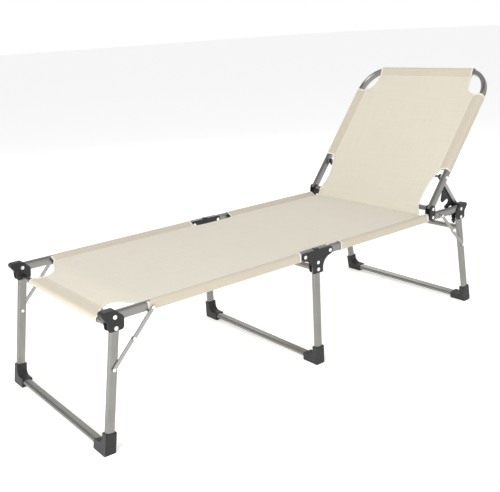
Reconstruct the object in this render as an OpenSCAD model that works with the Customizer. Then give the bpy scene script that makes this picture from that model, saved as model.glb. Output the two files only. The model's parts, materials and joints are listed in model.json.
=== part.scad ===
// Folding sun lounger with three U-shaped legs, a fabric sling and a reclining backrest.
// X runs along the length with the head end at +X, Y across, Z up; the floor is Z = 0.

/* [Frame] */
// Distance between the centre lines of the two side rails
rail_gap = 560; // [480:5:640]
// Height of the rails' centre line above the floor
rail_z = 354; // [330:1:400]
// Distance from the middle hinge to the front corner rivets
foot_len = 671; // [600:1:720]
// Distance from the middle hinge to the rear corner rivets
seat_len = 686; // [660:1:740]

/* [Tube] */
// Long side of the flat-oval tube
tube_h = 27; // [22:1:27]
// Short side of the flat-oval tube
tube_t = 15; // [12:0.5:16]
// Wall thickness of every tube
wall = 1.2; // [0.8:0.1:2]
// Diameter of the round cross tubes
bar_d = 17; // [12:1:18]

/* [Legs] */
// Height of the leg pivots below the rails' centre line
pivot_drop = 28.5; // [28.5:0.5:34]
// How far the front and rear feet stand outside their pivots
foot_out = 54; // [30:1:60]
// Height of the black foot caps
cap_h = 58; // [45:1:65]
// Length of a foot cap along the floor tube
cap_l = 52; // [40:1:65]

/* [Middle hinge] */
// Distance between the two section pivots of a middle hinge
hinge_gap = 100; // [98:1:120]
// Length of the hinge plate's stem below the rails' centre line
stem_l = 60; // [56:1:66]

/* [Backrest] */
// Distance from the middle hinge to the backrest pivots
back_x = 532; // [500:1:540]
// Angle of the backrest above the seat
back_angle = 52; // [45:1:52]
// Length from the backrest pivots to the top of the backrest tube
back_len = 541; // [480:1:600]
// Bend radius of the backrest tube's centre line
back_bend = 95; // [70:1:120]

/* [Prop] */
// Distance of the prop pivots from the backrest pivots
prop_u = 120; // [118:1:124]
// Angle of the prop arms below the horizontal
prop_angle = 52; // [50:1:54]
// Distance of the hook bar from the rear leg pivots
hook_drop = 42; // [40:1:44]

/* [Fabric] */
// Thickness of the fabric panels
cloth_t = 1; // [0.6:0.1:2]

/* [Hidden] */

half_y = rail_gap / 2;
inner_y = half_y - tube_t / 2;          // inner face of the rails
outer_y = half_y + tube_t / 2;          // outer face of the rails
plate_t = 3;                            // thickness of the metal and plastic plates
plate_gap = 0.4;                        // side clearance between a plate and a tube
plate_in = inner_y - plate_gap - plate_t;
plate_out = outer_y + plate_gap;
plate_end = plate_out + plate_t;
pin_r = 3;                              // radius of a rivet's shank
play = 0.1;                             // radial clearance of a turning rivet
head_r = 5.5;                           // radius of a rivet's head
head_h = 2;                             // height of a rivet's head
fit = 0.15;                             // clearance between a cap and the tube in it
leg_z = rail_z - pivot_drop;            // height of the front and rear leg pivots
lean = atan(foot_out / leg_z);          // lean of the front and rear legs
leg_top = 5;                            // how far a leg reaches past its pivot
floor_z = 15;                           // height of a floor tube's centre line
hinge_x = hinge_gap / 2;
rail_end = 40;                          // how far a rail reaches past its middle hinge pivot
leg_rivets = [27, 48];                  // depths of the middle leg's rivets under the rails
back_z = rail_z + pivot_drop;           // height of the backrest pivots
stay_t = 3;                             // thickness of a stay link
stay_w = 10;                            // width of a stay link
stay_in = plate_out;                    // inner face of the lower links
stay_mid = stay_in + stay_t + 0.4;      // inner face of the upper links
stay_dx = 106;                          // stay pivot on the rail, along from the leg pivot
stay_dz = 24.5;                         // and up from it
stay_leg = 106;                         // stay pivot on the leg, down from the leg pivot
prop_y = inner_y - 10;                  // inner face of the prop arms
cloth_up = 3;                           // height of the panels above the rails' centre plane
back_up = 4.6;                          // and of the backrest's panel above its tube's
prop_t = 4;                             // thickness of a prop arm
ratchet_t = 5;                          // thickness of a ratchet plate
prop_len = 163;                         // length of a prop arm past its pivot
slot_x = [98, 133, 168];                // places of the ratchet slots along the arm
slot_y = 27;                            // depth line of the slots' closed ends
tip_y = 46;                             // line of the prong tips
hook_gap = 1;                           // clearance between the prop's end and the hook bar

// Place of the hook bar and the prop pivot in the X-Z plane, from the middle hinge
hook_p = [seat_len + hook_drop * sin(lean), leg_z - hook_drop * cos(lean)];
prop_p = [back_x + prop_u * cos(back_angle), back_z + prop_u * sin(back_angle)];
// Radius around the backrest pivots inside which the prop swings past the hook bar
swing_r = norm(hook_p - [back_x, back_z]) - bar_d / 2 - hook_gap;

// The origin lies midway between the outermost points of the feet and the backrest
foot_reach = foot_len + foot_out + (tube_h / 2 + 2) / cos(lean);
back_reach = back_x + (back_len - tube_t / 2) * cos(back_angle)
    + (tube_h - tube_t) / 2 * sin(back_angle) + tube_t / 2;
mid_x = (foot_reach - back_reach) / 2;

alu = [0.74, 0.74, 0.73];
dark = [0.16, 0.16, 0.17];
bright = [0.86, 0.86, 0.86];
cream = [0.90, 0.86, 0.79];

// Stands a child on both sides of the lounger
module both_sides() {
    children();
    mirror([0, 1, 0]) children();
}

// Lays a 2D outline drawn as [along X, up Z] at a distance y, with its thickness away from Y = 0
module side_plate(y, t) {
    translate([0, y + t, 0]) rotate([90, 0, 0]) linear_extrude(t) children();
}

// Outline around circles given as [x, z, radius] anticlockwise: arcs joined by their tangents
function edge_angle(a, b) = atan2(b[1] - a[1], b[0] - a[0]) - 90
    + asin((a[2] - b[2]) / norm([b[0] - a[0], b[1] - a[1]]));
function around(c, steps) = [for (i = [0:len(c) - 1])
    let (p = c[i], n = len(c), last = edge_angle(c[(i + n - 1) % n], p),
        turn = (edge_angle(p, c[(i + 1) % n]) - last + 720) % 360)
    for (k = [0:steps]) let (a = last + turn * k / steps)
        [p[0] + p[2] * cos(a), p[1] + p[2] * sin(a)]];

module blob(c, steps = 10) {
    polygon(around(c, steps));
}

// Flat-oval outline of the tube: long side along X
module oval(h = tube_h, t = tube_t) {
    blob([[(h - t) / 2, 0, t / 2], [-(h - t) / 2, 0, t / 2]], 14);
}

// Hollow flat-oval tube along Z with its long side along X
module oval_tube(l) {
    difference() {
        linear_extrude(l) oval();
        translate([0, 0, -1]) linear_extrude(l + 2) oval(tube_h - 2 * wall, tube_t - 2 * wall);
    }
}

// Hollow round tube along Y, centred
module cross_tube(l, d) {
    rotate([90, 0, 0]) difference() {
        cylinder(h = l, d = d, center = true, $fn = 48);
        cylinder(h = l + 2, d = d - 2 * wall, center = true, $fn = 48);
    }
}

// Bore across a tube at an X-Z place
module bore(p, r) {
    translate([p[0], half_y, p[1]]) rotate([90, 0, 0])
        cylinder(h = 60, r = r, center = true, $fn = 32);
}

// Rivet through both plates: a shank with a domed head at each end
module rivet(p, y0, y1) {
    translate([p[0], 0, p[1]]) rotate([-90, 0, 0]) {
        translate([0, 0, y0]) cylinder(h = y1 - y0, r = pin_r, $fn = 32);
        translate([0, 0, y1]) cylinder(h = head_h, r = head_r, $fn = 32);
        translate([0, 0, y0 - head_h]) cylinder(h = head_h, r = head_r, $fn = 32);
    }
}

// Rivets on both sides at each listed place, through the pair of plates
module rivets(places, y0 = plate_in, y1 = plate_end) {
    color(bright) both_sides() for (p = places) rivet(p, y0, y1);
}

module holes2d(places, r = pin_r) {
    for (p = places) translate(p) circle(r = r, $fn = 32);
}

// ---- U-shaped legs ----

// Turns a leg drawn upright under its pivot into its leaning place; side -1 front, 0 middle, 1 rear
module leg_place(side) {
    x = side < 0 ? -foot_len : side > 0 ? seat_len : 0;
    translate([x, 0, leg_z]) rotate([0, -side * lean, 0]) translate([-x, 0, -leg_z])
        translate([x, 0, 0]) children();
}

// Length from a leg's pivot height to the floor, along the leg
function leg_reach(side) = side == 0 ? leg_z : leg_z / cos(lean);

// Two uprights of a leg
module leg_tubes(side) {
    low = leg_z - leg_reach(side) + floor_z + 8;
    top = side == 0 ? rail_z - tube_h / 2 - 2.5 : leg_z + leg_top;
    color(alu) both_sides() leg_place(side) difference() {
        translate([0, half_y, low]) oval_tube(top - low);
        if (side == 0) for (d = leg_rivets) bore([0, rail_z - d], pin_r);
        else {
            bore([0, leg_z], pin_r + play);
            bore([0, leg_z - stay_leg], pin_r);
        }
    }
}

// Height of a floor tube in the leg's own upright frame
function tube_low(side) = leg_z - leg_reach(side) + floor_z;

// Cross tube on the floor
module floor_tube(side) {
    l = rail_gap - 2 * 20;
    color(alu) leg_place(side) translate([0, l / 2, tube_low(side)]) rotate([90, 0, 0])
        oval_tube(l);
}

// Outline of a foot cap across the lounger, [y, z] from the leg's centre line and the floor
module cap_outline() {
    r_in = 20;
    w_out = tube_t / 2 + 2;
    arm_top = floor_z + tube_t / 2 + 2;
    difference() {
        blob([[w_out - 2, cap_h - 2, 2], [-w_out + 2, cap_h - 2, 2],
            [-cap_l + 3, arm_top - 3, 3], [-cap_l + 6, 0, 6], [w_out - 10, 4, 10]]);
        blob([[-w_out - r_in, arm_top + r_in, r_in], [-w_out - r_in, 200, r_in],
            [-300, 200, r_in], [-300, arm_top + r_in, r_in]]);
    }
}

// Black elbows that join the uprights to the floor tube and stand on the floor
module foot_caps(side) {
    base = leg_z - leg_reach(side);
    w = tube_h + 4;
    color(dark) both_sides() difference() {
        leg_place(side) difference() {
            translate([-w / 2, half_y, base]) rotate([90, 0, 90]) linear_extrude(w) cap_outline();
            translate([0, half_y, base + floor_z + 8 - fit])
                linear_extrude(200) oval(tube_h + 2 * fit, tube_t + 2 * fit);
            translate([0, half_y - 20 + fit, base + floor_z]) rotate([90, 0, 0])
                linear_extrude(200) oval(tube_h + 2 * fit, tube_t + 2 * fit);
        }
        translate([-2000, 0, -100]) cube([4000, 1000, 100]);
    }
}

// ---- Folding stays ----

// Stay pivots as X-Z places: on the rail, on the leg, and the pin midway
function stay_rail(side) = side < 0 ? [-foot_len + stay_dx, leg_z + stay_dz]
    : [seat_len - stay_dx, leg_z + stay_dz];
function stay_foot(side) = [(side < 0 ? -foot_len : seat_len) + side * stay_leg * sin(lean),
    leg_z - stay_leg * cos(lean)];
function stay_pin(side) = (stay_rail(side) + stay_foot(side)) / 2;

// One link between two places
module link(a, b, y, holes_r) {
    side_plate(y, stay_t) difference() {
        blob([[a[0], a[1], stay_w / 2], [b[0], b[1], stay_w / 2]]);
        translate(a) circle(r = holes_r, $fn = 32);
    }
}

module stay_upper(side) {
    color(alu) both_sides() link(stay_rail(side), stay_pin(side), stay_mid, pin_r + play);
}

module stay_lower(side) {
    p = stay_pin(side);
    color(alu) both_sides() {
        link(stay_foot(side), p, stay_in, pin_r + play);
        translate([p[0], stay_in - 1.5, p[1]]) rotate([-90, 0, 0])
            cylinder(h = 2, r = 4, $fn = 32);
    }
}

// Outer head of the rivet that joins the two links
module stay_pins(side) {
    p = stay_pin(side);
    color(bright) both_sides() translate([p[0], stay_mid + stay_t, p[1]]) rotate([-90, 0, 0])
        cylinder(h = 1.6, r = 4, $fn = 32);
}

// Rivet that holds a stay link to a tube: shank through the tube, head outside the link, and a
// spacer ring between the tube and an upper link
module stay_rivets(p, y1, ring = 0) {
    color(bright) both_sides() translate([p[0], 0, p[1]]) rotate([-90, 0, 0]) {
        translate([0, 0, inner_y]) cylinder(h = y1 - inner_y, r = pin_r, $fn = 32);
        if (ring > 0) translate([0, 0, outer_y]) cylinder(h = ring, r = 5, $fn = 32);
        translate([0, 0, y1]) cylinder(h = 1.6, r = 4.5, $fn = 32);
        translate([0, 0, inner_y - 1.6]) cylinder(h = 1.6, r = 4.5, $fn = 32);
    }
}

// ---- Middle hinge and frame ----

pivots_mid = [[-hinge_x, rail_z], [hinge_x, rail_z]];
leg_holes = [for (d = leg_rivets) [0, rail_z - d]];

// T-shaped hinge plate: a bar with two lobes and a stem that holds the leg
module hinge_plates_outer() {
    color(dark) both_sides() side_plate(plate_out, plate_t) difference() {
        blob([[hinge_x, rail_z, 12], [-hinge_x, rail_z, 12],
            [-15, rail_z - stem_l + 6, 6], [15, rail_z - stem_l + 6, 6]]);
        for (s = [-1, 1]) translate([s * 58, rail_z - 50]) circle(r = 38, $fn = 64);
        holes2d(pivots_mid);
        holes2d(leg_holes);
    }
}

module hinge_plates_inner() {
    color(dark) both_sides() side_plate(plate_in, plate_t) difference() {
        union() {
            blob([[-hinge_x, rail_z, 12], [hinge_x, rail_z, 12]]);
            blob([[12, rail_z, 8], [-12, rail_z, 8], [-8, rail_z - stem_l + 8, 8],
                [8, rail_z - stem_l + 8, 8]]);
        }
        holes2d(pivots_mid);
        holes2d(leg_holes);
    }
}

// Block between the rail ends
module hinge_spacers() {
    color(dark) both_sides() side_plate(inner_y - plate_gap, tube_t + 2 * plate_gap)
        blob([[3, rail_z + 11, 3], [-3, rail_z + 11, 3], [-3, rail_z - 8, 3], [3, rail_z - 8, 3]]);
}

module middle_crossbar() {
    color(alu) translate([0, 0, rail_z - leg_rivets[1]])
        cross_tube(2 * (plate_in - head_h), bar_d);
}

// ---- Rails ----

// Two side rails from x0 to x1 with bores at the listed places
module rails(x0, x1, turning, fixed) {
    color(alu) both_sides() difference() {
        translate([x0, half_y, rail_z]) rotate([0, 90, 0]) oval_tube(x1 - x0);
        for (p = turning) bore(p, pin_r + play);
        for (p = fixed) bore(p, pin_r);
    }
}

// Outline of a corner cap about its upper rivet, foot end to the left
module corner_outline() {
    blob([[0, 10, 8], [-26, 10, 8], [-10, -12, 8], [17, -7, 8]]);
    blob([[17, -7, 8], [-13, 4, 8], [-13, -28, 8], [14, -27, 9]]);
}

// Corner cap: a block around the rail's end, hollow for the rail and the leg; side -1 front, 1 rear
module corner_caps(side) {
    x = side < 0 ? -foot_len : seat_len;
    color(dark) both_sides() translate([x, 0, rail_z]) mirror([side > 0 ? 1 : 0, 0, 0])
        difference() {
            side_plate(plate_in, plate_end - plate_in) difference() {
                corner_outline();
                holes2d([[0, 0], [0, -pivot_drop]]);
            }
            side_plate(inner_y - plate_gap, tube_t + 2 * plate_gap) polygon([
                [-18, tube_h / 2 + 0.3], [-18, -10], [-60, -10], [-60, -60], [60, -60],
                [60, tube_h / 2 + 0.3]]);
            if (side > 0) side_plate(plate_out - 1, plate_t + 2)
                translate([34, 0]) circle(d = tube_h, $fn = 48);
        }
}

// Crossbar at the front leg pivots, which the sling wraps round
module front_crossbar() {
    color(alu) translate([-foot_len, 0, leg_z]) cross_tube(2 * (plate_in - head_h), bar_d);
}

// ---- Backrest ----

// Turns a shape drawn along +X from the backrest pivots to the backrest's angle
module back_place() {
    translate([back_x, 0, back_z]) rotate([0, -back_angle, 0]) children();
}

module hinge_oval() {
    blob([[0, 0, 13], [-0.5, pivot_drop / 2, 15], [0, pivot_drop, 12], [0.5, pivot_drop / 2, 15]]);
}

back_holes = [[0, 0], [0, pivot_drop]];

module backrest_plates_outer() {
    color(dark) both_sides() translate([back_x, 0, rail_z]) side_plate(plate_out, plate_t)
        difference() {
            hinge_oval();
            holes2d(back_holes);
        }
}

module backrest_plates_inner() {
    color(dark) both_sides() translate([back_x, 0, rail_z]) {
        side_plate(plate_in, plate_t) difference() {
            hinge_oval();
            holes2d(back_holes);
        }
    }
}

module backrest_crossbar() {
    color(alu) translate([back_x, 0, back_z]) cross_tube(2 * (plate_in - head_h), bar_d);
}

// Flat-oval U tube, drawn along +X from the pivots; inset 0 outside, wall inside
module back_u(inset) {
    leg = back_len - tube_t / 2 - back_bend;
    h = tube_h - 2 * inset;
    t = tube_t - 2 * inset;
    over = inset > 0 ? 1 : 0;
    both_sides() {
        translate([-leg_top - over, half_y, 0]) rotate([0, 90, 0])
            linear_extrude(leg + leg_top + over) oval(h, t);
        translate([leg, half_y - back_bend, 0]) rotate_extrude(angle = 90, $fn = 96)
            translate([back_bend, 0]) rotate(90) oval(h, t);
    }
    translate([leg + back_bend, half_y - back_bend, 0]) rotate([90, 0, 0])
        linear_extrude(rail_gap - 2 * back_bend) rotate(90) oval(h, t);
}

module backrest_tube() {
    color(alu) difference() {
        back_place() difference() {
            back_u(0);
            back_u(wall);
        }
        both_sides() {
            bore([back_x, back_z], pin_r + play);
            bore(prop_p, pin_r);
        }
    }
}

// Fabric panel of the backrest, narrow at the lower corners where the prop arms stand
module backrest_fabric() {
    w = inner_y;
    l = back_len - tube_t;
    color(cream) back_place() translate([0, 0, back_up]) linear_extrude(cloth_t) polygon([
        [30, -200], [110, -215], [155, -w], [l - back_bend, -w], [l - 30, -w + 65],
        [l, -w + back_bend + 5], [l, w - back_bend - 5], [l - 30, w - 65], [l - back_bend, w],
        [155, w], [110, 215], [30, 200]]);
}

// Flat panel between the rails with cut corners at each end
module panel(x0, x1, cut0, cut1, in0, in1) {
    w = inner_y;
    color(cream) translate([0, 0, rail_z + cloth_up]) linear_extrude(cloth_t) polygon([
        [x0, -w + in0], [x0 + cut0, -w], [x1 - cut1, -w], [x1, -w + in1],
        [x1, w - in1], [x1 - cut1, w], [x0 + cut0, w], [x0, w - in0]]);
}

// ---- Prop ----

// Turns a shape drawn along +X from the prop pivots, prongs towards -Z, to the prop's place
module prop_place() {
    translate([prop_p[0], 0, prop_p[1]]) rotate([0, prop_angle, 0]) children();
}

module prop_arms() {
    color(alu) prop_place() both_sides() side_plate(prop_y, prop_t) difference() {
        blob([[0, 0, 6.5], [prop_len - 12, 0, 6]]);
        circle(r = pin_r + play, $fn = 32);
    }
}

// Black plate with hooked slots that catch the hook bar
module ratchet_plates() {
    // the backrest pivots in the prop's own frame
    d = [back_x, back_z] - prop_p;
    c = [d[0] * cos(prop_angle) - d[1] * sin(prop_angle),
        d[0] * sin(prop_angle) + d[1] * cos(prop_angle)];
    color(dark) prop_place() both_sides() side_plate(prop_y - ratchet_t, ratchet_t)
        intersection() {
            difference() {
                union() {
                    blob([[40, 0, 5], [76, -tip_y + 5, 5], [92, -10, 5]]);
                    blob([[80, 0, 5], [80, -tip_y + 5, 5], [195, -tip_y + 5, 5], [195, 0, 5]]);
                }
                for (x = slot_x)
                    blob([[x, -slot_y + 1, bar_d / 2 + 1], [x - 8, -tip_y - 12, bar_d / 2 + 3]]);
            }
            translate(c) circle(r = swing_r, $fn = 128);
        }
}

// Black sleeves on the arms' upper ends
module prop_clamps() {
    color(dark) prop_place() both_sides() side_plate(prop_y - 3, 3) difference() {
        blob([[0, 0, 9], [12, 0, 7]]);
        circle(r = 4.2, $fn = 32);
    }
}

// Rod that ties the two arms together behind the fabric
module prop_rod() {
    color(alu) translate([prop_p[0], 0, prop_p[1]]) rotate([90, 0, 0])
        cylinder(h = 2 * prop_y, d = 8, center = true, $fn = 32);
}

// Shouldered rivets that carry the arms on the backrest tube
module prop_pivots() {
    color(bright) both_sides() translate([prop_p[0], 0, prop_p[1]]) rotate([-90, 0, 0]) {
        translate([0, 0, prop_y + 0.3]) cylinder(h = outer_y - prop_y - 0.3, r = pin_r, $fn = 32);
        translate([0, 0, prop_y + prop_t + 0.5]) cylinder(h = 4, r = head_r, $fn = 32);
        translate([0, 0, outer_y]) cylinder(h = head_h, r = head_r, $fn = 32);
    }
}

// ---- One module for each part ----

module middle_leg_tubes() { leg_tubes(0); }
module middle_floor_tube() { floor_tube(0); }
module middle_foot_caps() { foot_caps(0); }
module hinge_pivot_rivets() { rivets(pivots_mid); }
module middle_leg_rivets() { rivets(leg_holes); }
module foot_rails() {
    rails(-foot_len - 16, -hinge_x + rail_end, [[-hinge_x, rail_z]],
        [[-foot_len, rail_z], stay_rail(-1)]);
}
module front_corner_caps() { corner_caps(-1); }
module front_cap_rivets() { rivets([[-foot_len, rail_z]]); }
module front_leg_pivots() { rivets([[-foot_len, leg_z]]); }
module front_stay_rail_rivets() {
    stay_rivets(stay_rail(-1), stay_mid + stay_t + 0.1, stay_mid - outer_y - 0.1);
}
// Foot panel: it leaves the rails and slopes down to the top of the front crossbar
module foot_fabric() {
    w = inner_y;
    x1 = -hinge_x - 22;
    top = rail_z + cloth_up;
    low = leg_z + bar_d / 2 + 0.5;
    half = [[-foot_len, 200], [-foot_len + 23, 172], [-foot_len + 46, 170],
        [-foot_len + 72, 200], [-foot_len + 100, w], [x1 - 4, w], [x1, w - 40]];
    color(cream) intersection() {
        translate([0, 0, floor_z]) linear_extrude(rail_z) polygon(concat(half,
            [for (i = [len(half) - 1:-1:0]) [half[i][0], -half[i][1]]]));
        rotate([90, 0, 0]) translate([0, 0, -w - 1]) linear_extrude(2 * w + 2) polygon([
            [-foot_len, low], [-foot_len + 100, top], [x1 + 1, top], [x1 + 1, top + cloth_t],
            [-foot_len + 100, top + cloth_t], [-foot_len, low + cloth_t]]);
    }
}
module front_leg_tubes() { leg_tubes(-1); }
module front_floor_tube() { floor_tube(-1); }
module front_foot_caps() { foot_caps(-1); }
module front_stay_leg_rivets() { stay_rivets(stay_foot(-1), stay_in + stay_t + 0.1); }
module front_stay_upper() { stay_upper(-1); }
module front_stay_pins() { stay_pins(-1); }
module front_stay_lower() { stay_lower(-1); }
module seat_rails() {
    rails(hinge_x - rail_end, seat_len + 16, [[hinge_x, rail_z]],
        [[seat_len, rail_z], [back_x, rail_z], stay_rail(1)]);
}
module rear_corner_caps() { corner_caps(1); }
module rear_cap_rivets() { rivets([[seat_len, rail_z]]); }
module rear_leg_pivots() { rivets([[seat_len, leg_z]]); }
module rear_stay_rail_rivets() {
    stay_rivets(stay_rail(1), stay_mid + stay_t + 0.1, stay_mid - outer_y - 0.1);
}
module backrest_plate_rivets() { rivets([[back_x, rail_z]]); }
module backrest_pivots() { rivets([[back_x, back_z]]); }
module seat_fabric() { panel(hinge_x + 22, back_x - 32, 4, 40, 40, 60); }
module rear_leg_tubes() { leg_tubes(1); }
module rear_floor_tube() { floor_tube(1); }
module rear_foot_caps() { foot_caps(1); }
module hook_bar() {
    color(alu) translate([hook_p[0], 0, hook_p[1]]) cross_tube(2 * inner_y, bar_d);
}
module rear_stay_leg_rivets() { stay_rivets(stay_foot(1), stay_in + stay_t + 0.1); }
module rear_stay_upper() { stay_upper(1); }
module rear_stay_pins() { stay_pins(1); }
module rear_stay_lower() { stay_lower(1); }

translate([mid_x, 0, 0]) {
    middle_leg_tubes();
    middle_floor_tube();
    middle_foot_caps();
    hinge_plates_outer();
    hinge_plates_inner();
    hinge_spacers();
    middle_crossbar();
    hinge_pivot_rivets();
    middle_leg_rivets();
    foot_rails();
    front_corner_caps();
    front_crossbar();
    front_cap_rivets();
    front_leg_pivots();
    front_stay_rail_rivets();
    foot_fabric();
    front_leg_tubes();
    front_floor_tube();
    front_foot_caps();
    front_stay_leg_rivets();
    front_stay_upper();
    front_stay_pins();
    front_stay_lower();
    seat_rails();
    rear_corner_caps();
    rear_cap_rivets();
    rear_leg_pivots();
    rear_stay_rail_rivets();
    backrest_plates_outer();
    backrest_plates_inner();
    backrest_crossbar();
    backrest_plate_rivets();
    backrest_pivots();
    seat_fabric();
    rear_leg_tubes();
    rear_floor_tube();
    rear_foot_caps();
    hook_bar();
    rear_stay_leg_rivets();
    rear_stay_upper();
    rear_stay_pins();
    rear_stay_lower();
    backrest_tube();
    backrest_fabric();
    prop_pivots();
    prop_arms();
    ratchet_plates();
    prop_clamps();
    prop_rod();
}
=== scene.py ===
import json
import math
import bpy
import numpy as np
from mathutils import Matrix, Vector


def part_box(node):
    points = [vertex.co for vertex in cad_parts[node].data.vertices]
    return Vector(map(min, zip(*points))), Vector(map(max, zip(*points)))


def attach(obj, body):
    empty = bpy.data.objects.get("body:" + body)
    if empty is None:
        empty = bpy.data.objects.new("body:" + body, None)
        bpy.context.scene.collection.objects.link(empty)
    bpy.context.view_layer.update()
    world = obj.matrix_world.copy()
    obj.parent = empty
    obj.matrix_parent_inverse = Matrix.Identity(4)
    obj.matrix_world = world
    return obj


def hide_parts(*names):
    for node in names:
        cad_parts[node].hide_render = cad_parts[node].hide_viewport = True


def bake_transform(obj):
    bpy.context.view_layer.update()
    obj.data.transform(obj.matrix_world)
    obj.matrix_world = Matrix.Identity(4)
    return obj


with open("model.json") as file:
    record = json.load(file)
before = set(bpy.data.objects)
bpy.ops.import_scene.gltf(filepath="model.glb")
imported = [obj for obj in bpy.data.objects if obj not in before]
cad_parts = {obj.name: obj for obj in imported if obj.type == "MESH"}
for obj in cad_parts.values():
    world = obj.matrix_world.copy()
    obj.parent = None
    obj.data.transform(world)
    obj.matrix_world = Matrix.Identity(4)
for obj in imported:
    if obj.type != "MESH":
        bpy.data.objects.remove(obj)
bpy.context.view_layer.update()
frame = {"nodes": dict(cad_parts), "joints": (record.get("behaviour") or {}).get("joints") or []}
nodes = frame["nodes"]
J = {j["name"]: Vector(j["pos_m"]) for j in frame["joints"]}
mm = 0.001

# ---------------------------------------------------------------- places from the frame
MX = (J["foot_section_fold"].x + J["seat_section_fold"].x) / 2     # middle of the T hinges
RZ = J["foot_section_fold"].z                                      # rails' centre height
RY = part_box("foot_rails")[1].y - 7.5 * mm                          # rails' centre, to the side
BAR = J["front_leg_fold"]                                          # front crossbar's centre
HINGE = J["backrest_recline"]                                      # backrest crossbar's centre
PROP = J["prop_swing"]
BA = math.atan2(PROP.z - HINGE.z, PROP.x - HINGE.x)                # backrest's angle
BT, BN = Vector((math.cos(BA), 0, math.sin(BA))), Vector((-math.sin(BA), 0, math.cos(BA)))
TUBE_R, TUBE_C = 7.5 * mm, 6 * mm        # flat-oval tube: end radius, half distance of end centres
CLOTH = 0.7 * mm
SEAM = 254 * mm                          # sleeve seams of the seat, from the middle line
BSEAM = 250 * mm                         # and of the backrest
PZ = RZ + 2.5 * mm                       # height of the seat panel at the seams
FOOT_SLEEVE = (-571, -68)                # sleeves along the rails, mm from the middle leg
SEAT_SLEEVE = 104
BACK_SLEEVE = (149, 434)                 # and up the backrest, mm from its hinge
BUP = 5 * mm                             # backrest panel, in front of the tube's centre plane


def X(x):
    return MX + x * mm


# ---------------------------------------------------------------- materials
def mat(name, slot_rough, metallic=0.0, color=(0.8, 0.8, 0.8)):
    m = bpy.data.materials.new(name)
    m.use_nodes = True
    nt = m.node_tree
    b = nt.nodes["Principled BSDF"]
    b.inputs["Base Color"].default_value = (*color, 1)
    b.inputs["Roughness"].default_value = slot_rough
    b.inputs["Metallic"].default_value = metallic
    return m, nt, b


def node(nt, kind, **values):
    n = nt.nodes.new(kind)
    for k, v in values.items():
        if k in n.inputs:
            n.inputs[k].default_value = v
        else:
            setattr(n, k, v)
    return n


def ramp(nt, source, stops):
    r = nt.nodes.new("ShaderNodeValToRGB")
    while len(r.color_ramp.elements) > len(stops):
        r.color_ramp.elements.remove(r.color_ramp.elements[-1])
    while len(r.color_ramp.elements) < len(stops):
        r.color_ramp.elements.new(0.5)
    for e, (p, c) in zip(r.color_ramp.elements, stops):
        e.position = p
        e.color = (*c, 1) if len(c) == 3 else c
    nt.links.new(source, r.inputs["Fac"])
    return r.outputs["Color"]


def noise(nt, vector, scale, detail=4.0, rough=0.55):
    n = node(nt, "ShaderNodeTexNoise", Scale=scale, Detail=detail, Roughness=rough)
    nt.links.new(vector, n.inputs["Vector"])
    return n.outputs["Fac"]


def stretched(nt, scale):
    tc = nt.nodes.new("ShaderNodeTexCoord")
    mp = node(nt, "ShaderNodeMapping", Scale=scale)
    nt.links.new(tc.outputs["Object"], mp.inputs["Vector"])
    return mp.outputs["Vector"]


def mix(nt, fac, a, b, blend="MIX"):
    n = nt.nodes.new("ShaderNodeMix")
    n.data_type = "RGBA"
    n.blend_type = blend
    for value, k in ((fac, 0), (a, 6), (b, 7)):
        if hasattr(value, "is_linked"):
            nt.links.new(value, n.inputs[k])
        else:
            n.inputs[k].default_value = value if k == 0 else (*value, 1)
    return n.outputs[2]


def maths(nt, op, a, b=0.0, c=0.0):
    n = node(nt, "ShaderNodeMath", operation=op)
    for k, value in enumerate((a, b, c)):
        if hasattr(value, "is_linked"):
            nt.links.new(value, n.inputs[k])
        else:
            n.inputs[k].default_value = value
    return n.outputs[0]


def bump(nt, height, strength, distance, after=None):
    n = node(nt, "ShaderNodeBump", Strength=strength, Distance=distance)
    nt.links.new(height, n.inputs["Height"])
    if after is not None:
        nt.links.new(after, n.inputs["Normal"])
    return n.outputs["Normal"]


def aluminium(name, along, light=(0.31, 0.305, 0.29), dark=(0.19, 0.185, 0.175), rough=0.26):
    """Satin anodised tube: drawing lines along the tube, a faint mottle, and dull scuffs."""
    m, nt, b = mat(name, rough, 1.0)
    fine = [900.0, 900.0, 900.0]
    fine[along] = 5.0
    lines = noise(nt, stretched(nt, fine), 1.0, 2.0)
    body = noise(nt, stretched(nt, (1, 1, 1)), 14.0, 5.0)
    scuff = noise(nt, stretched(nt, (60, 60, 60)), 1.0, 8.0, 0.7)
    color = mix(nt, maths(nt, "MULTIPLY", lines, 0.55), light, dark)
    color = mix(nt, ramp(nt, body, ((0.35, (0, 0, 0)), (0.75, (0.35, 0.35, 0.35)))), color, dark)
    worn = ramp(nt, scuff, ((0.62, (0, 0, 0)), (0.78, (0.5, 0.5, 0.5))))
    nt.links.new(mix(nt, worn, color, (0.45, 0.445, 0.435)), b.inputs["Base Color"])
    r = maths(nt, "MULTIPLY_ADD", lines, 0.14, rough - 0.06)
    nt.links.new(maths(nt, "MULTIPLY_ADD", scuff, 0.10, r), b.inputs["Roughness"])
    nt.links.new(bump(nt, lines, 0.10, 0.0002), b.inputs["Normal"])
    return m


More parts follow.
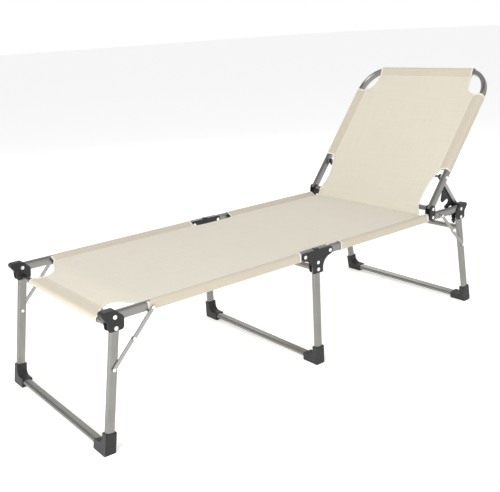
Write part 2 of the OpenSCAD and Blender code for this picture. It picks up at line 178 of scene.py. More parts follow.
def plastic(name, base=(0.014, 0.014, 0.015)):
    """Black moulded nylon: fine spark-eroded grain, faint flow marks, greyer where rubbed."""
    m, nt, b = mat(name, 0.46)
    grain = noise(nt, stretched(nt, (1, 1, 1)), 1400.0, 3.0)
    flow = noise(nt, stretched(nt, (1, 1, 1)), 38.0, 5.0)
    color = mix(nt, flow, tuple(x * 0.75 for x in base), tuple(x * 1.9 for x in base))
    speck = ramp(nt, grain, ((0.55, (0, 0, 0)), (0.8, (0.5, 0.5, 0.5))))
    nt.links.new(mix(nt, speck, color, (0.045, 0.045, 0.047)), b.inputs["Base Color"])
    nt.links.new(maths(nt, "MULTIPLY_ADD", flow, 0.22, 0.36), b.inputs["Roughness"])
    near = bump(nt, grain, 0.35, 0.0002)
    nt.links.new(bump(nt, flow, 0.10, 0.0008, near), b.inputs["Normal"])
    b.inputs["Specular IOR Level"].default_value = 0.36
    return m


def bright_metal(name):
    """Zinc rivet: bright, with turned rings of fine scratches and small dings."""
    m, nt, b = mat(name, 0.25, 1.0)
    scratch = noise(nt, stretched(nt, (700, 90, 700)), 1.0, 3.0)
    ding = noise(nt, stretched(nt, (1, 1, 1)), 260.0, 4.0)
    nt.links.new(mix(nt, scratch, (0.93, 0.93, 0.92), (0.78, 0.78, 0.77)), b.inputs["Base Color"])
    nt.links.new(maths(nt, "MULTIPLY_ADD", scratch, 0.2, 0.18), b.inputs["Roughness"])
    nt.links.new(bump(nt, ding, 0.15, 0.0003), b.inputs["Normal"])
    return m


def fabric(name, face=(0.70, 0.650, 0.545), hem_shade=(0.53, 0.470, 0.365), weave=1.0):
    """Coated mesh weave: warp and weft from the sheet's own lengthwise and crosswise metres."""
    m, nt, b = mat(name, 0.78)
    uv = nt.nodes.new("ShaderNodeUVMap")
    uv.uv_map = "metres"
    sep = nt.nodes.new("ShaderNodeSeparateXYZ")
    nt.links.new(uv.outputs["UV"], sep.inputs["Vector"])
    pitch = 2 * math.pi / (1.25 * mm)
    warp = maths(nt, "SINE", maths(nt, "MULTIPLY", sep.outputs["X"], pitch))
    weft = maths(nt, "SINE", maths(nt, "MULTIPLY", sep.outputs["Y"], pitch))
    cell = maths(nt, "MULTIPLY", warp, weft)
    yarn = maths(nt, "MULTIPLY_ADD", cell, 0.5, 0.5)

    def yarns(scale):
        mp = node(nt, "ShaderNodeMapping", Scale=scale)
        nt.links.new(uv.outputs["UV"], mp.inputs["Vector"])
        return noise(nt, mp.outputs["Vector"], 1.0, 3.0)

    slub_a, slub_b = yarns((7, 420, 1)), yarns((420, 7, 1))
    cloud, fuzz = yarns((5, 5, 1)), yarns((900, 900, 1))
    thick = maths(nt, "ADD", maths(nt, "MULTIPLY", slub_a, 0.5), maths(nt, "MULTIPLY", slub_b, 0.5))
    tone = ramp(nt, thick, ((0.30, tuple(x * 0.90 for x in face)), (0.50, face),
                            (0.70, tuple(min(1, x * 1.06) for x in face))))
    tone = mix(nt, maths(nt, "MULTIPLY", cloud, 0.22), tone,
            tuple(x * y for x, y in zip(face, (0.95, 0.93, 0.89))))
    # painted shade: faces flagged as hems and sleeves take the darker hem tone, standing in for the
    # lesser light that comes through the doubled cloth
    at = nt.nodes.new("ShaderNodeAttribute")
    at.attribute_name = "hem_shade"
    hem_shade_tone = mix(nt, thick, tuple(x * 0.9 for x in hem_shade), tuple(x * 1.1 for x in hem_shade))
    tone = mix(nt, maths(nt, "MULTIPLY", at.outputs["Fac"], 0.62), tone, hem_shade_tone)
    gap = ramp(nt, yarn, ((0.0, (0.72, 0.70, 0.66)), (0.35, (1, 1, 1))))
    tone = mix(nt, 0.45 * weave, tone, gap, "MULTIPLY")
    nt.links.new(tone, b.inputs["Base Color"])
    nt.links.new(maths(nt, "MULTIPLY_ADD", fuzz, 0.18, 0.66), b.inputs["Roughness"])
    b.inputs["Sheen Weight"].default_value = 0.25
    b.inputs["Sheen Roughness"].default_value = 0.45
    b.inputs["Specular IOR Level"].default_value = 0.28
    near = bump(nt, yarn, 0.45, 0.00025)
    nt.links.new(bump(nt, thick, 0.30, 0.0006, near), b.inputs["Normal"])
    return m


ALU_X, ALU_Y, ALU_Z = (aluminium(f"satin_aluminium_{a}", i) for i, a in enumerate("xyz"))
ALU_LINK = aluminium("stay_aluminium", 2, (0.40, 0.40, 0.39), (0.27, 0.27, 0.26), 0.26)
PLASTIC = plastic("black_plastic")
RUBBER = plastic("foot_plastic", (0.016, 0.016, 0.017))
RIVET = bright_metal("rivet_metal")
FABRIC = fabric("sling_fabric")
TAPE = fabric("binding_tape", (0.77, 0.735, 0.65), (0.77, 0.735, 0.65), 0.6)
THREAD = fabric("sewing_thread", (0.84, 0.81, 0.74), (0.84, 0.81, 0.74), 0.2)

for n, o in nodes.items():
    if n.endswith(("_fabric",)):
        use = FABRIC
    elif "rivets" in n or "pivots" in n or "pins" in n:
        use = RIVET
    elif "foot_caps" in n:
        use = RUBBER
    elif any(k in n for k in ("caps", "plates", "spacers", "clamps")):
        use = PLASTIC
    elif "stay" in n or n == "prop_arms":
        use = ALU_LINK
    elif "rails" in n:
        use = ALU_X
    elif "leg_tubes" in n or n == "backrest_tube":
        use = ALU_Z
    else:
        use = ALU_Y
    if not o.data.materials:
        o.data.materials.append(use)
    for i in range(len(o.data.materials)):
        o.data.materials[i] = use
    for p in o.data.polygons:
        p.use_smooth = True
    soft_edge = {PLASTIC: 0.9, RUBBER: 1.2, RIVET: 1.0, ALU_LINK: 0.4}.get(use)
    if soft_edge:
        bevel = o.modifiers.new("worn_edge", "BEVEL")
        bevel.width = soft_edge * mm
        bevel.segments = 3
        bevel.limit_method = "ANGLE"
        bevel.angle_limit = math.radians(50)
        bevel.harden_normals = False
        bevel.use_clamp_overlap = True


# ---------------------------------------------------------------- sling: shapes
def curve(knots, x):
    """Smooth curve through (x, value) knots, evaluated at the array x."""
    k = np.array(knots, float)
    kx, ky = k[:, 0], k[:, 1]
    h, d = np.diff(kx), np.diff(ky) / np.diff(kx)
    t = np.concatenate([[d[0]], np.where(d[:-1] * d[1:] > 0,
            2 * d[:-1] * d[1:] / (d[:-1] + d[1:] + 1e-12), 0), [d[-1]]])
    i = np.clip(np.searchsorted(kx, x) - 1, 0, len(h) - 1)
    u = np.clip((x - kx[i]) / h[i], 0, 1)
    return ((1 + 2 * u) * (1 - u) ** 2 * ky[i] + u * (1 - u) ** 2 * h[i] * t[i]
            + u * u * (3 - 2 * u) * ky[i + 1] + u * u * (u - 1) * h[i] * t[i + 1])


def tangent(p, c, r, upper):
    """Angle round the circle c, r of the point where the line from p touches it."""
    d = math.hypot(p[0] - c[0], p[1] - c[1])
    base = math.atan2(p[1] - c[1], p[0] - c[0])
    a = base + math.acos(min(1, r / d)) * (-1 if upper else 1)
    return a + 2 * math.pi if a < -math.pi else a


def arc(c, r, a0, a1, n):
    return [(c[0] + r * math.cos(a0 + (a1 - a0) * k / n), c[1] + r * math.sin(a0 + (a1 - a0) * k / n))
            for k in range(n + 1)]


def line(a, b, n):
    """n points from a to b, without the ends."""
    return [(a[0] + (b[0] - a[0]) * k / (n + 1), a[1] + (b[1] - a[1]) * k / (n + 1))
            for k in range(1, n + 1)]


def sleeve(seam, centre, drop, tight):
    """Section of a sleeve: from the seam over the flat-oval tube and back under the seam, as
    (distance from the middle, height over the panel). The tube's centre lies drop under the panel."""
    r = TUBE_R + CLOTH
    top, low = (centre, -drop + TUBE_C), (centre, -drop - TUBE_C)
    a = tangent((seam, 0), top, r, True)
    first = arc(top, r, a, 0, 8)
    out = [(seam, 0.0)] + line((seam, 0), first[0], 3) + first + line(first[-1],
            (centre + r, -drop - TUBE_C), 2)
    end = (seam - 4 * mm, -1.5 * mm)
    if tight:
        side = centre - r
        out += arc(low, r, 0, -math.pi, 12) + line((side, -drop - TUBE_C), (side, -6 * mm), 2)
        out += [(side, -6 * mm), (side - 0.8 * mm, -3.6 * mm), (side - 2.6 * mm, -2.2 * mm)]
        out += line((side - 2.6 * mm, -2.2 * mm), end, 3) + [end]
    else:
        b = tangent(end, low, r, False)
        b = b - 2 * math.pi if b > 0 else b
        low_arc = arc(low, r, 0, b, 10)
        out += low_arc + line(low_arc[-1], end, 4) + [end]
    return out


def sling(name, path, width, wrap, section, sag, shaded_hems, start=0.0, columns=65):
    """A sheet on rows along path. path: (x, z) points; width: half width of each row; wrap: whether
    a row goes on into the sleeves; section: the sleeves' section; sag: depth of each row's middle."""
    path = np.array(path, float)
    d = np.gradient(path, axis=0)
    d /= np.linalg.norm(d, axis=1)[:, None]
    normal = np.stack([-d[:, 1], d[:, 0]], axis=1)
    along = start + np.concatenate([[0], np.cumsum(np.linalg.norm(np.diff(path, axis=0), axis=1))])
    t = np.linspace(-1, 1, columns)
    verts, uvs, panel, sides = [], [], [], []

    def add(i, y, h, across):
        verts.append((path[i, 0] + normal[i, 0] * h, y, path[i, 1] + normal[i, 1] * h))
        uvs.append((along[i], across))
        return len(verts) - 1

    for i in range(len(path)):
        w = width[i]
        core = min(150 * mm, w * 0.72)
        row = []
        for v in t:
            a = abs(v)
            y = (a / 0.62 * core if a <= 0.62 else core + (w - core) * (a - 0.62) / 0.38) * (1 if v >= 0
                    else -1)
            q = abs(y) / w
            edge = math.exp(-(w - abs(y)) / (26 * mm)) * (1 - math.exp(-(w - abs(y)) / (5 * mm)))
            ripple = along[i] / (17 * mm) + 2.1 * math.sin(along[i] / (83 * mm)) + (1.3 if v > 0 else 0)
            pucker = 0.55 * mm * edge * math.sin(ripple)
            row.append(add(i, y, -sag[i] * max(0.0, 1 - q ** 2) ** 0.8 + pucker * min(1,
                    sag[i] / (2 * mm)), y))
        panel.append(row)
        both = []
        for s in (-1, 1):
            if not wrap[i]:
                both.append(None)
                continue
            across, last, col = width[i], section[0], [row[0] if s < 0 else row[-1]]
            for k, q in enumerate(section[1:], 1):
                across += math.hypot(q[0] - last[0], q[1] - last[1])
                last = q
                col.append(add(i, s * q[0], q[1], s * across))
            both.append(col)
        sides.append(both)

    # hem rows and sleeve faces are flagged for the fabric's painted shade, darker where the cloth lies
    # double
    faces, hem_shade = [], []
    for i in range(len(path) - 1):
        in_shaded_hem = any(a <= i < b for a, b in shaded_hems)
        for j in range(columns - 1):
            faces.append((panel[i][j], panel[i + 1][j], panel[i + 1][j + 1], panel[i][j + 1]))
            hem_shade.append(1.0 if in_shaded_hem else 0.0)
        for s in (0, 1):
            a, b = sides[i][s], sides[i + 1][s]
            if a is None or b is None:
                continue
            for k in range(len(a) - 1):
                f = (a[k], b[k], b[k + 1], a[k + 1])
                faces.append(f if s else f[::-1])
                hem_shade.append(1.0)
    faces = [f[::-1] for f in faces]
    mesh = bpy.data.meshes.new(name)
    mesh.from_pydata(verts, [], faces)
    layer = mesh.uv_layers.new(name="metres")
    index = np.zeros(len(mesh.loops), np.int32)
    mesh.loops.foreach_get("vertex_index", index)
    layer.data.foreach_set("uv", np.array(uvs, np.float32)[index].ravel())
    at = mesh.attributes.new("hem_shade", "FLOAT", "FACE")
    at.data.foreach_set("value", np.array(hem_shade, np.float32))
    mesh.polygons.foreach_set("use_smooth", [True] * len(faces))
    mesh.materials.append(FABRIC)
    o = bpy.data.objects.new(name, mesh)
    bpy.context.scene.collection.objects.link(o)
    solid = o.modifiers.new("thickness", "SOLIDIFY")
    solid.thickness = CLOTH
    solid.offset = 0
    solid.use_even_offset = True
    bake(o)
    for k in range(len(faces) * 2, len(o.data.polygons)):          # the cut edges
        o.data.polygons[k].use_smooth = False
    round_ = sum(math.dist(a, b) for a, b in zip(section, section[1:]))
    across = np.array([2 * w + (2 * round_ if q else 0) for w, q in zip(width, wrap)])
    flat = float(np.sum((across[1:] + across[:-1]) / 2 * np.diff(along)))
    frames = {"path": path, "normal": normal, "grid": np.array(verts, float), "panel": panel,
            "sides": sides,
              "along": along, "cut": (float(across.max()), float(along[-1] - along[0])), "area": flat}
    return o, frames


def bake(o):
    """Replaces the mesh by the one its modifiers give, and drops them."""
    bpy.context.view_layer.update()
    made = bpy.data.meshes.new_from_object(o.evaluated_get(bpy.context.evaluated_depsgraph_get()))
    made.name = o.name
    o.modifiers.clear()
    o.data = made


def edge_line(f, rows, s, sleeve_row=None, first=False):
    """Points and surface normals of a cut edge on side s (0 near, 1 far): the panel's edge along rows,
    and round the sleeve at sleeve_row, before them or after."""
    pts, nor, g = [], [], f["grid"]
    n3 = [Vector((a, 0, b)) for a, b in f["normal"]]
    for i in rows:
        pts.append(Vector(g[f["panel"][i][0 if s == 0 else -1]]))
        nor.append(n3[i])
    if sleeve_row is None:
        return pts, nor
    ring = [Vector(g[k]) for k in f["sides"][sleeve_row][s]][1:]
    sp, sn = [], []
    for k, p in enumerate(ring):
        a, b = ring[max(0, k - 1)], ring[min(len(ring) - 1, k + 1)]
        along = (b - a).normalized()
        nn = along.cross(Vector((f["path"][1][0] * 0 + 1, 0, 0)) if abs(n3[sleeve_row].z) > 0.9 else BT)
        if s == 0:
            nn = -nn
        sp.append(p)
        sn.append(-nn.normalized())
    if first:
        return sp[::-1] + pts, sn[::-1] + nor
    return pts + sp, nor + sn


def mesh_object(name, verts, faces, material, uvs=None):
    mesh = bpy.data.meshes.new(name)
    mesh.from_pydata([tuple(v) for v in verts], [], faces)
    layer = mesh.uv_layers.new(name="metres")
    if uvs is not None:
        index = np.zeros(len(mesh.loops), np.int32)
        mesh.loops.foreach_get("vertex_index", index)
        layer.data.foreach_set("uv", np.array(uvs, np.float32)[index].ravel())
    mesh.polygons.foreach_set("use_smooth", [True] * len(faces))
    mesh.materials.append(material)
    o = bpy.data.objects.new(name, mesh)
    bpy.context.scene.collection.objects.link(o)
    return o


def binding(lines, half=5.5 * mm):
    """Verts and faces of tape folded over the cut edges: lines of (points, normals, inward sign)."""
    verts, faces, uvs = [], [], []
    prof = ((half, 0.6), (1.2 * mm, 0.75), (-0.3 * mm, 0.7), (-0.7 * mm, 0.0), (-0.3 * mm, -0.7),
            (1.2 * mm, -0.75), (half, -0.6))
    for pts, nor, sign in lines:
        s, start = 0.0, len(verts)
        for k, p in enumerate(pts):
            a, b = pts[max(0, k - 1)], pts[min(len(pts) - 1, k + 1)]
            t = (b - a).normalized()
            inward = (nor[k].cross(t)).normalized() * sign
            s += (p - pts[k - 1]).length if k else 0
            wave = 0.25 * mm * math.sin(s / (9 * mm))
            for q, (u, v) in enumerate(prof):
                verts.append(p + inward * (u + (wave if u == half else 0)) + nor[k] * v * mm)
                uvs.append((s, q * 2.4 * mm))
        m = len(prof)
        for k in range(len(pts) - 1):
            for q in range(m - 1):
                i = start + k * m + q
                faces.append((i, i + 1, i + m + 1, i + m))
    return verts, faces, uvs


def stitches(lines, pitch=4.2 * mm, length=2.9 * mm):
    """Verts and faces of single stitches laid along lines of (points, normals)."""
    verts, faces, uvs = [], [], []
    shape = [(-0.5, 0, 0.05), (-0.28, -1, 0), (-0.28, 0, 1), (-0.28, 1, 0), (0.28, -1, 0), (0.28, 0, 1),
            (0.28, 1, 0), (0.5, 0, 0.05)]
    tris = [(0, 1, 2), (0, 2, 3), (1, 4, 5, 2), (2, 5, 6, 3), (4, 7, 5), (5, 7, 6)]
    for pts, nor in lines:
        seg = [0.0]
        for a, b in zip(pts, pts[1:]):
            seg.append(seg[-1] + (b - a).length)
        at = pitch / 2
        k = 0
        while at < seg[-1]:
            while seg[k + 1] < at:
                k += 1
            u = (at - seg[k]) / max(1e-9, seg[k + 1] - seg[k])
            p, n = pts[k].lerp(pts[k + 1], u), nor[k].lerp(nor[k + 1], u).normalized()
            t = (pts[k + 1] - pts[k]).normalized()
            side = n.cross(t).normalized()
            i = len(verts)
            for x, y, z in shape:
                verts.append(p + t * x * length + side * y * 0.42 * mm + n * z * 0.5 * mm)
                uvs.append((at + x * length, y * 0.4 * mm))
            faces += [tuple(i + q for q in f) for f in tris]
            at += pitch
    return verts, faces, uvs


def shifted(line_, d_in, sign, up):
    pts, nor = line_
    out = []
    for k, p in enumerate(pts):
        a, b = pts[max(0, k - 1)], pts[min(len(pts) - 1, k + 1)]
        out.append(p + nor[k].cross((b - a).normalized()).normalized() * sign * d_in + nor[k] * up)
    return out, nor


def column_line(f, rows, y, up):
    """A line along the panel at a distance y from the middle, lying on the rows."""
    pts, nor, g = [], [], f["grid"]
    for i in rows:
        row = g[f["panel"][i]]
        ys = row[:, 1]
        n = Vector((f["normal"][i][0], 0, f["normal"][i][1]))
        pts.append(Vector((np.interp(y, ys, row[:, 0]), y, np.interp(y, ys, row[:, 2]))) + n * up)
        nor.append(n)
    return pts, nor


def row_line(f, i, inset, up):
    g = f["grid"]
    n = Vector((f["normal"][i][0], 0, f["normal"][i][1]))
    pts = [Vector(g[k]) + n * up for k in f["panel"][i]]
    w = abs(pts[0].y) - inset
    pts = [p for p in pts if abs(p.y) <= w]
    return pts, [n] * len(pts)


# ---------------------------------------------------------------- sling: foot piece
RS = sleeve(SEAM, RY, PZ - RZ, False)
SLOPE_TOP = (X(-571), PZ)
r_bar = 8.5 * mm + CLOTH
bar = (BAR.x, BAR.z)
a_top = tangent(SLOPE_TOP, bar, r_bar, False)
touch = (bar[0] + r_bar * math.cos(a_top), bar[1] + r_bar * math.sin(a_top))
m_slope = (SLOPE_TOP[1] - touch[1]) / (SLOPE_TOP[0] - touch[0])
th = math.atan(m_slope)
hem_p = (touch[0] + 28 * mm * math.cos(th) + 1.5 * mm * math.sin(th),
        touch[1] + 28 * mm * math.sin(th) - 1.5 * mm * math.cos(th))
a_low = tangent(hem_p, bar, r_bar, True)
a_low = a_low + 2 * math.pi if a_low < a_top else a_low
wrap_arc = arc(bar, r_bar, a_low, a_top, 22)
path = [hem_p] + line(hem_p, wrap_arc[0], 3) + wrap_arc
n_under = len(path)
width = [200 * mm] * n_under
FOOT_CUT = [(-680, 201), (-671, 200), (-661, 185), (-648, 173), (-630, 169), (-614, 176), (-600, 197),
        (-588, 224), (-578, 246), (-572, 254)]
MID_CUT_A = [(-68, 254), (-60, 247), (-50, 241), (-36, 238.5), (0, 238)]
xs = np.concatenate([np.arange(-669, -572, 2.6), np.arange(-571, -546, 5), np.arange(-540, -84, 12),
        np.arange(-80, -69, 4), [-68, -66, -63, -60, -56, -52, -48, -44, -40, -35, -30, -25, -20, -15,
        -10, -5, -0.4, 0]])
for x in xs:
    m = 30 * mm
    if X(x) < SLOPE_TOP[0] - m:
        z = PZ + m_slope * (X(x) - SLOPE_TOP[0])
    elif X(x) < SLOPE_TOP[0] + m:
        z = PZ - m_slope * (SLOPE_TOP[0] + m - X(x)) ** 2 / (4 * m)
    else:
        z = PZ
    path.append((X(x), z))
    if x < FOOT_SLEEVE[0]:
        width.append(float(curve(FOOT_CUT, np.array([x]))[0]) * mm)
    elif x <= FOOT_SLEEVE[1]:
        width.append(SEAM)
    else:
        width.append(float(curve(MID_CUT_A, np.array([x]))[0]) * mm)
wrap = [False] * n_under + [FOOT_SLEEVE[0] <= x <= FOOT_SLEEVE[1] for x in xs]
sag = [0.0] * n_under + [float(v) * mm for v in curve([(-669, 0), (-600, 1.5), (-520, 4.5), (-300, 6),
        (-120, 5), (-50, 4.6), (0, 4.6)], xs)]
seam_row = n_under + int(np.argmin(np.abs(xs - (-644))))
foot, FF = sling("foot_sling", path, width, wrap, RS, sag, [(0, seam_row)])
first_s = n_under + int(np.argmax(xs >= FOOT_SLEEVE[0]))
last_s = n_under + int(np.where(xs <= FOOT_SLEEVE[1])[0][-1])
n_rows = len(path)

tape, thread = [], []
for s in (0, 1):
    sg = 1 if s == 0 else -1
    a = edge_line(FF, range(0, first_s + 1), s, first_s)
    b = edge_line(FF, range(last_s, n_rows), s, last_s, first=True)
    tape += [(*a, -sg), (*b, -sg)]
    thread += [shifted(a, 4.2 * mm, -sg, 0.65 * mm), shifted(b, 4.2 * mm, -sg, 0.65 * mm)]
    side = -1 if s == 0 else 1
    for y in (SEAM - 1 * mm, SEAM - 5 * mm):
        thread.append(column_line(FF, range(first_s, last_s + 1), side * y, 0.45 * mm))
for k in (0, -2):
    thread.append(row_line(FF, seam_row + k, 9 * mm, 0.45 * mm))
foot_tape = mesh_object("foot_sling_binding", *binding(tape)[:2], TAPE, binding(tape)[2])
v, f_, u_ = stitches(thread)
foot_thread = mesh_object("foot_sling_stitches", v, f_, THREAD, u_)

# ---------------------------------------------------------------- sling: seat piece
MID_CUT_B = [(0, 238), (72, 238.5), (86, 241), (96, 247), (104, 254)]
xs2 = np.concatenate([[0, 0.4, 8, 16, 24, 32, 40, 48, 56, 64, 70, 75, 80, 84, 88, 92, 95, 98, 101, 104,
        108, 112, 116], np.arange(124, 398, 12), [399.6, 400]])
path2 = [(X(x), PZ) for x in xs2]
width2 = [SEAM if x >= SEAT_SLEEVE else float(curve(MID_CUT_B, np.array([x]))[0]) * mm for x in xs2]
sag2 = [float(v) * mm for v in curve([(0, 4.6), (50, 4.6), (120, 5), (300, 5.8), (360, 5.6), (400, 5.6)],
        xs2)]
seat, SF = sling("seat_sling", path2, width2, [x >= SEAT_SLEEVE for x in xs2], RS, sag2, [],
        FF["along"][-1])
first2 = int(np.argmax(xs2 >= SEAT_SLEEVE))
tape, thread = [], []
for s in (0, 1):
    sg = 1 if s == 0 else -1
    a = edge_line(SF, range(0, first2 + 1), s, first2)
    tape.append((*a, -sg))
    thread.append(shifted(a, 4.2 * mm, -sg, 0.65 * mm))
    side = -1 if s == 0 else 1
    for y in (SEAM - 1 * mm, SEAM - 5 * mm):
        thread.append(column_line(SF, range(first2, len(xs2)), side * y, 0.45 * mm))
seat_tape = mesh_object("seat_sling_binding", *binding(tape)[:2], TAPE, binding(tape)[2])
v, f_, u_ = stitches(thread)
seat_thread = mesh_object("seat_sling_stitches", v, f_, THREAD, u_)


# ---------------------------------------------------------------- sling: backrest piece
def on_back(u, n):
    p = HINGE + BT * u * mm + BN * n * mm
    return (p.x, p.z)


hub = (HINGE.x, HINGE.z)
xs3 = np.concatenate([[400, 400.4], np.arange(412, 484, 12), [484, 488, 492, 496, 500, 504, 507]])
path3 = [(X(x), PZ) for x in xs3]
n_seat = len(path3)
path3 += [(X(509.6), PZ + 0.4 * mm), (X(510), PZ + 0.5 * mm), (X(510.4), PZ + 0.6 * mm),
        (X(513.5), PZ + 2.0 * mm), (X(516.6), PZ + 5 * mm), (X(518.8), PZ + 9 * mm),
          (X(520.5), PZ + 14 * mm), (X(521.8), PZ + 19 * mm)]
path3 += arc(hub, 9.6 * mm, math.radians(182), math.pi / 2 + BA + math.radians(4), 4)
n_turn = len(path3)
us = np.concatenate([[12, 20, 28, 36], np.arange(44, 84, 7), np.arange(86, 134, 3),
        [134, 137, 140, 143, 146, 149, 154], np.arange(162, 420, 12), [422, 427, 431, 434],
                     np.arange(436, 460, 2), np.arange(460, 505, 4), [506, 508]])
off = np.interp(us, [0, 12, 40, 70], [9.6, 9.3, 6.4, 5.0])
path3 += [on_back(u, n) for u, n in zip(us, off)]
top_sec = sleeve(508 * mm, 533.5 * mm, BUP, True)
path3 += [on_back(y / mm, BUP / mm + n / mm) for y, n in top_sec[1:]]
n_top = len(top_sec) - 1
LOW_CUT = [(-30, 254), (-25, 250), (-21, 243), (-14, 237), (0, 233), (14, 229), (30, 226.5), (52, 226),
        (75, 227.5), (93, 231), (114, 237), (130, 243.5), (142, 248.5), (149, 250)]
TOP_CUT = [(434, 250), (438, 246.5), (442, 239), (447, 229), (455, 218.5), (468, 211.5), (488, 206.5),
        (508, 204)]
turn_u = np.linspace(-25, 2, n_turn - n_seat)
width3 = [SEAM] * (n_seat - 1) + [SEAM] + [float(v) * mm for v in curve(LOW_CUT, turn_u)]
for u in us:
    width3.append((float(curve(LOW_CUT, np.array([u]))[0]) if u < BACK_SLEEVE[0] else 250.0
            if u <= BACK_SLEEVE[1] else float(curve(TOP_CUT, np.array([u]))[0])) * mm)
width3 += [204 * mm] * n_top
wrap3 = [True] * n_seat + [False] * (n_turn - n_seat) + [BACK_SLEEVE[0] <= u <= BACK_SLEEVE[1]
        for u in us] + [False] * n_top
sag3 = [float(v) * mm for v in curve([(400, 5.6), (425, 5.4), (470, 1.5), (500, -2.5), (507, -3.5)], xs3)]
sag3 += [float(v) * mm for v in np.linspace(-3.5, 0, n_turn - n_seat)]
sag3 += [float(v) * mm for v in curve([(0, 0), (50, 0.2), (120, 0.05), (160, 0.6), (240, 2.8),
        (340, 3.6), (440, 2.2), (500, 0.4), (508, 0)], us)] + [0.0] * n_top
i_seat0, i_back0 = n_seat - 1, n_turn + int(np.argmax(us >= BACK_SLEEVE[0]))
i_back1 = n_turn + int(np.where(us <= BACK_SLEEVE[1])[0][-1])
i_hem = n_turn + len(us) - 1


BS = sleeve(BSEAM, RY, BUP, True)
# the seat's sleeves and the backrest's have different sections, so each side of this row is a sheet
cut = n_seat + 1


def two_part(name):
    a, fa = sling(name + "_a", path3[:cut + 1], width3[:cut + 1], wrap3[:cut] + [False], RS,
            sag3[:cut + 1], [], SF["along"][-1])
    b, fb = sling(name + "_b", path3[cut:], width3[cut:], wrap3[cut:], BS, sag3[cut:],
            [(i_hem - cut, 10 ** 6)],
                  fa["along"][-1])
    return a, fa, b, fb


rear, RF, back, BF = two_part("rear")
rear.name = rear.data.name = "rear_seat_sling"
back.name = back.data.name = "backrest_sling"
j_b0, j_b1, j_h = i_back0 - cut, i_back1 - cut, i_hem - cut
for o, F, parts in ((rear, RF, "rear"), (back, BF, "back")):
    tape, thread = [], []
    for s in (0, 1):
        sg, side = (1, -1) if s == 0 else (-1, 1)
        if parts == "rear":
            a = edge_line(F, range(n_seat - 1, cut + 1), s, n_seat - 1, first=True)
            for y in (SEAM - 1 * mm, SEAM - 5 * mm):
                thread.append(column_line(F, range(0, n_seat), side * y, 0.45 * mm))
            cuts = [a]
        else:
            a = edge_line(F, range(0, j_b0 + 1), s, j_b0)
            b = edge_line(F, range(j_b1, len(F["path"])), s, j_b1, first=True)
            for y in (BSEAM - 1 * mm, BSEAM - 5 * mm):
                thread.append(column_line(F, range(j_b0, j_b1 + 1), side * y, 0.45 * mm))
            cuts = [a, b]
        for c in cuts:
            tape.append((*c, -sg))
            thread.append(shifted(c, 4.2 * mm, -sg, 0.65 * mm))
    if parts == "back":
        for k in (0, -1):
            thread.append(row_line(F, j_h + k, 9 * mm, 0.45 * mm))
    t_ = mesh_object(o.name + "_binding", *binding(tape)[:2], TAPE, binding(tape)[2])
    v, f_, u_ = stitches(thread)
    s_ = mesh_object(o.name + "_stitches", v, f_, THREAD, u_)
    if parts == "rear":
        rear_tape, rear_thread = t_, s_
    else:
        back_tape, back_thread = t_, s_

# ---------------------------------------------------------------- loop round the backrest crossbar
loop_pts = arc(hub, 8.9 * mm, math.pi / 2 + BA - math.radians(5), -math.radians(170), 44)
loop_w = 205 * mm
lv, lf, lu = [], [], []
ny = 40
for i, p in enumerate(loop_pts):
    for j in range(ny + 1):
        lv.append(Vector((p[0], -loop_w + 2 * loop_w * j / ny, p[1])))
        lu.append((i * 1.1 * mm, 2 * loop_w * j / ny))
for i in range(len(loop_pts) - 1):
    for j in range(ny):
        a = i * (ny + 1) + j
        lf.append((a, a + 1, a + ny + 2, a + ny + 1))
loop = mesh_object("crossbar_loop", lv, lf, FABRIC, lu)
solid = loop.modifiers.new("thickness", "SOLIDIFY")
solid.thickness, solid.offset = 0.5 * mm, 0
bake(loop)

# ---------------------------------------------------------------- baking in place, the crossbar loop riding the seat frame, standing in
for o in (foot, foot_tape, foot_thread):
    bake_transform(o)
for o in (seat, seat_tape, seat_thread):
    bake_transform(o)
for o in (rear, rear_tape, rear_thread, back, back_tape, back_thread):
    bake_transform(o)
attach(loop, "seat_frame")
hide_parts("foot_fabric")
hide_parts("seat_fabric")
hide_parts("backrest_fabric")


# ---------------------------------------------------------------- floor, light, camera
bpy.ops.mesh.primitive_plane_add(size=90, location=(0, 0, 0))
floor = bpy.context.object
floor.name = "studio_floor"
fm, nt, b = mat("studio_floor", 0.9, 0.0, (0.93, 0.93, 0.93))
tone = ramp(nt, noise(nt, stretched(nt, (1, 1, 1)), 3.0, 3.0),
        ((0.3, (0.925, 0.925, 0.925)), (0.7, (0.94, 0.94, 0.94))))
nt.links.new(tone, b.inputs["Base Color"])
b.inputs["Specular IOR Level"].default_value = 0.1
b.inputs["Emission Color"].default_value = (1, 1, 1, 1)
b.inputs["Emission Strength"].default_value = 0.42
floor.data.materials.append(fm)

world = bpy.data.worlds.new("studio")
bpy.context.scene.world = world
world.use_nodes = True
wt = world.node_tree
back_n = wt.nodes["Background"]
tc = wt.nodes.new("ShaderNodeTexCoord")
sp = wt.nodes.new("ShaderNodeSeparateXYZ")
wt.links.new(tc.outputs["Generated"], sp.inputs["Vector"])
high = ramp(wt, maths(wt, "MULTIPLY_ADD", sp.outputs["Z"], 0.5, 0.5),
        ((0.0, (1, 1, 1)), (0.56, (1, 1, 1)), (0.66, (0.40, 0.40, 0.41)), (1.0, (0.95, 0.95, 0.95))))
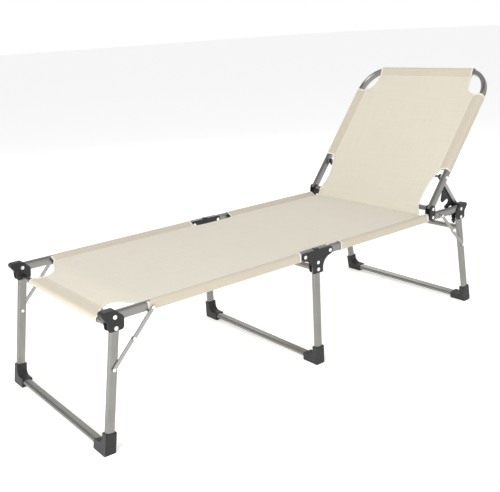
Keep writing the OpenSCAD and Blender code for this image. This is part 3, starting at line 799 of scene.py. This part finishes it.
# dark flats of the studio on one side: they draw the dark streaks along the tubes
turn = maths(wt, "ADD", maths(wt, "MULTIPLY", sp.outputs["X"], 0.30),
        maths(wt, "MULTIPLY", sp.outputs["Y"], 0.40))
flats = ramp(wt, maths(wt, "ADD", turn, 0.5), ((0.0, (0.30, 0.30, 0.30)), (0.16, (0.75, 0.75, 0.75)),
        (0.30, (0.16, 0.16, 0.16)), (0.52, (0.9, 0.9, 0.9)), (0.60, (1, 1, 1))))
seen = wt.nodes.new("ShaderNodeLightPath").outputs["Is Camera Ray"]      # a plain white backdrop
wt.links.new(mix(wt, seen, mix(wt, 1.0, high, flats, "MULTIPLY"), (1, 1, 1)), back_n.inputs["Color"])
back_n.inputs["Strength"].default_value = 1.0


def lamp(name, place, aim, size, power, color=(1, 1, 1)):
    d = bpy.data.lights.new(name, "AREA")
    d.shape, d.size, d.size_y, d.energy, d.color = "RECTANGLE", size[0], size[1], power, color
    o = bpy.data.objects.new(name, d)
    o.location = place
    o.rotation_euler = (Vector(aim) - Vector(place)).to_track_quat("-Z", "Y").to_euler()
    bpy.context.scene.collection.objects.link(o)


lamp("key_light", (-3.5, -1.5, 2.1), (0.2, 0, 0.45), (2.4, 2.0), 142)
lamp("fill_light", (1.6, -3.2, 1.8), (0.1, 0, 0.4), (2.4, 1.6), 20)
lamp("rear_light", (1.8, 2.6, 2.6), (0, 0, 0.4), (2.4, 1.6), 24)

cam_data = bpy.data.cameras.new("camera")
cam = bpy.data.objects.new("camera", cam_data)
bpy.context.scene.collection.objects.link(cam)
bpy.context.scene.camera = cam
cam_data.sensor_width = 36
cam_data.lens = 53.48
cam_data.clip_start, cam_data.clip_end = 0.05, 60
yaw, pitch, roll = (math.radians(a) for a in (52.09, 16.61, -3.32))
fwd = Vector((math.cos(pitch) * math.cos(yaw), math.cos(pitch) * math.sin(yaw), -math.sin(pitch)))
right = Vector((math.sin(yaw), -math.cos(yaw), 0))
up = right.cross(fwd)
cr, cu = right * math.cos(roll) + up * math.sin(roll), up * math.cos(roll) - right * math.sin(roll)
cam.matrix_world = Matrix(((cr.x, cu.x, -fwd.x, X(-1428.02)), (cr.y, cu.y, -fwd.y, -1.80482),
                           (cr.z, cu.z, -fwd.z, 1.00715), (0, 0, 0, 1)))

bpy.context.scene.view_settings.view_transform = "Standard"
bpy.context.scene.view_settings.look = "None"
